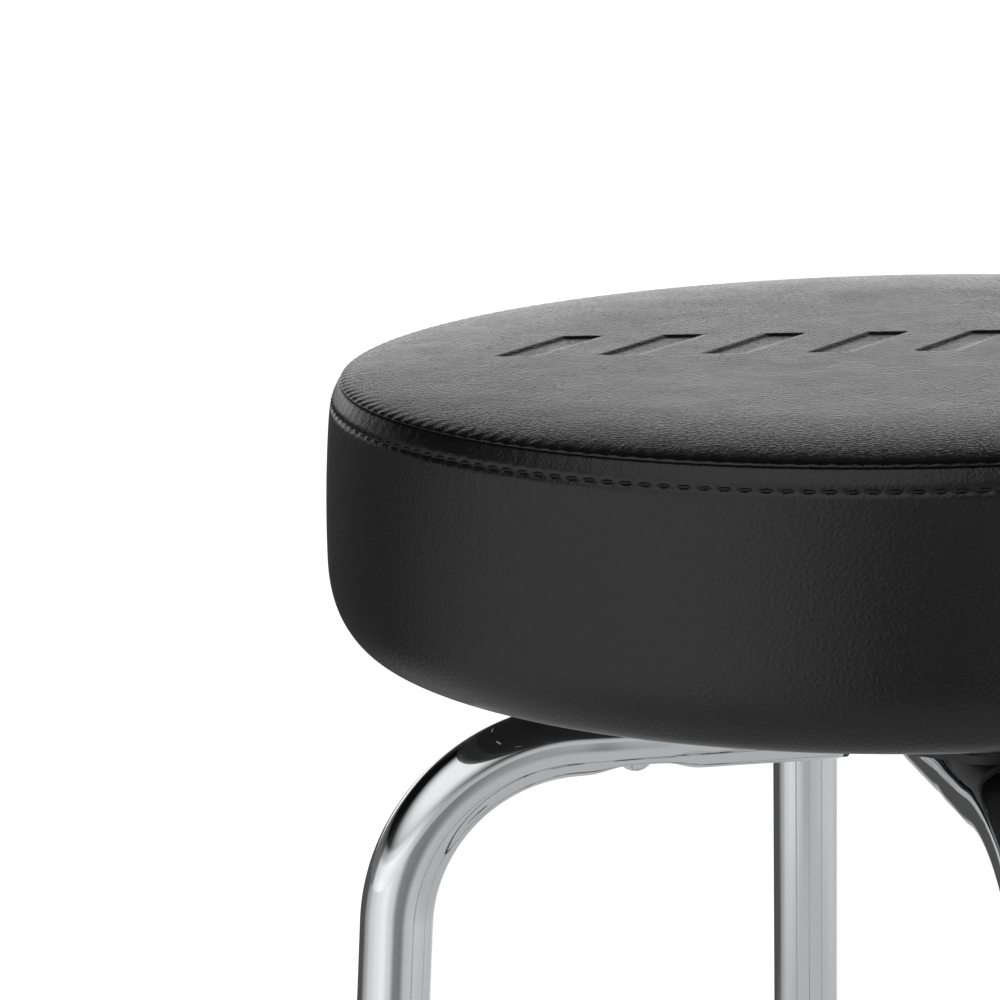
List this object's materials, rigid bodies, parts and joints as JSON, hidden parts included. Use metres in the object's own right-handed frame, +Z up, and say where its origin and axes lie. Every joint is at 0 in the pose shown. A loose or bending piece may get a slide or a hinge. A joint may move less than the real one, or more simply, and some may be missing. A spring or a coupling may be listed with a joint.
{
  "type": "stool",
  "caption": "Rolling stylist stool: round black leather swivel seat on bent chrome tube legs with a foot ring and twin-wheel casters.",
  "frame": {"origin": "on the floor under the centre of the seat", "axes": "+Z up; leg 1 points along the diagonal between +X and +Y, the other legs follow anticlockwise every 90 degrees"},
  "size_m": [0.3652, 0.3652, 0.64],
  "materials": {
    "leather": "pebbled black artificial leather, semi-gloss",
    "thread": "black polyester thread",
    "foam": "upholstery foam",
    "plywood": "birch plywood",
    "dust_cloth": "black non-woven cloth",
    "chrome": "polished chrome plate",
    "zinc_steel": "zinc plated",
    "plate_paint": "black powder coat",
    "bearing_steel": "polished hardened steel",
    "brass": "pressed sheet",
    "black_plastic": "moulded nylon",
    "caster_plastic": "moulded nylon, satin",
    "tyre": "soft polyurethane"
  },
  "bodies": {
    "base": {"swivel_bottom_plate": "plate_paint", "swivel_kingpin": "zinc_steel", "leg_1": "chrome", "leg_2": "chrome", "leg_3": "chrome", "leg_4": "chrome", "leg_end_plugs": "black_plastic", "leg_bolts": "chrome", "leg_nuts": "zinc_steel", "foot_ring": "chrome", "ring_spacers": "black_plastic", "ring_bolts": "chrome", "ring_cap_nuts": "chrome", "caster_socket_1": "black_plastic", "caster_socket_2": "black_plastic", "caster_socket_3": "black_plastic", "caster_socket_4": "black_plastic", "caster_stem_1": "zinc_steel", "caster_stem_2": "zinc_steel", "caster_stem_3": "zinc_steel", "caster_stem_4": "zinc_steel", "grip_rings": "bearing_steel"},
    "seat": {"seat_cover_top": "leather", "seat_cover_side": "leather", "topstitch_thread": "thread", "seat_foam": "foam", "seat_board": "plywood", "dust_cover": "dust_cloth", "staples": "zinc_steel", "t_nuts": "zinc_steel", "seat_screws": "zinc_steel", "swivel_top_plate": "plate_paint"},
    "bearing": {"ball_cage": "brass", "swivel_balls": "bearing_steel"},
    "caster_1": {"caster_body_1": "caster_plastic", "axle_1": "zinc_steel"},
    "wheel_1a": {"wheel_core_1a": "caster_plastic", "wheel_tyre_1a": "tyre"},
    "wheel_1b": {"wheel_core_1b": "caster_plastic", "wheel_tyre_1b": "tyre"},
    "caster_2": {"caster_body_2": "caster_plastic", "axle_2": "zinc_steel"},
    "wheel_2a": {"wheel_core_2a": "caster_plastic", "wheel_tyre_2a": "tyre"},
    "wheel_2b": {"wheel_core_2b": "caster_plastic", "wheel_tyre_2b": "tyre"},
    "caster_3": {"caster_body_3": "caster_plastic", "axle_3": "zinc_steel"},
    "wheel_3a": {"wheel_core_3a": "caster_plastic", "wheel_tyre_3a": "tyre"},
    "wheel_3b": {"wheel_core_3b": "caster_plastic", "wheel_tyre_3b": "tyre"},
    "caster_4": {"caster_body_4": "caster_plastic", "axle_4": "zinc_steel"},
    "wheel_4a": {"wheel_core_4a": "caster_plastic", "wheel_tyre_4a": "tyre"},
    "wheel_4b": {"wheel_core_4b": "caster_plastic", "wheel_tyre_4b": "tyre"}
  },
  "joints": [
    {"name": "seat_swivel", "type": "hinge", "parent": "base", "child": "seat", "pos_m": [0, 0, 0.558], "axis": [0, 0, 1], "continuous": true},
    {"name": "ball_orbit", "type": "hinge", "parent": "base", "child": "bearing", "pos_m": [0, 0, 0.558], "axis": [0, 0, 1], "continuous": true},
    {"name": "caster_swivel_1", "type": "hinge", "parent": "base", "child": "caster_1", "pos_m": [0.13307, 0.13307, 0.045], "axis": [0, 0, 1], "continuous": true},
    {"name": "wheel_spin_1a", "type": "hinge", "parent": "caster_1", "child": "wheel_1a", "pos_m": [0.1465, 0.1465, 0.025], "axis": [-0.7071, 0.7071, 0], "continuous": true},
    {"name": "wheel_spin_1b", "type": "hinge", "parent": "caster_1", "child": "wheel_1b", "pos_m": [0.1465, 0.1465, 0.025], "axis": [-0.7071, 0.7071, 0], "continuous": true},
    {"name": "caster_swivel_2", "type": "hinge", "parent": "base", "child": "caster_2", "pos_m": [-0.13307, 0.13307, 0.045], "axis": [0, 0, 1], "continuous": true},
    {"name": "wheel_spin_2a", "type": "hinge", "parent": "caster_2", "child": "wheel_2a", "pos_m": [-0.1465, 0.1465, 0.025], "axis": [-0.7071, -0.7071, 0], "continuous": true},
    {"name": "wheel_spin_2b", "type": "hinge", "parent": "caster_2", "child": "wheel_2b", "pos_m": [-0.1465, 0.1465, 0.025], "axis": [-0.7071, -0.7071, 0], "continuous": true},
    {"name": "caster_swivel_3", "type": "hinge", "parent": "base", "child": "caster_3", "pos_m": [-0.13307, -0.13307, 0.045], "axis": [0, 0, 1], "continuous": true},
    {"name": "wheel_spin_3a", "type": "hinge", "parent": "caster_3", "child": "wheel_3a", "pos_m": [-0.1465, -0.1465, 0.025], "axis": [0.7071, -0.7071, 0], "continuous": true},
    {"name": "wheel_spin_3b", "type": "hinge", "parent": "caster_3", "child": "wheel_3b", "pos_m": [-0.1465, -0.1465, 0.025], "axis": [0.7071, -0.7071, 0], "continuous": true},
    {"name": "caster_swivel_4", "type": "hinge", "parent": "base", "child": "caster_4", "pos_m": [0.13307, -0.13307, 0.045], "axis": [0, 0, 1], "continuous": true},
    {"name": "wheel_spin_4a", "type": "hinge", "parent": "caster_4", "child": "wheel_4a", "pos_m": [0.1465, -0.1465, 0.025], "axis": [0.7071, 0.7071, 0], "continuous": true},
    {"name": "wheel_spin_4b", "type": "hinge", "parent": "caster_4", "child": "wheel_4b", "pos_m": [0.1465, -0.1465, 0.025], "axis": [0.7071, 0.7071, 0], "continuous": true}
  ],
  "couplings": [
    {"joint": "ball_orbit", "follows": "seat_swivel", "ratio": 0.5}
  ]
}
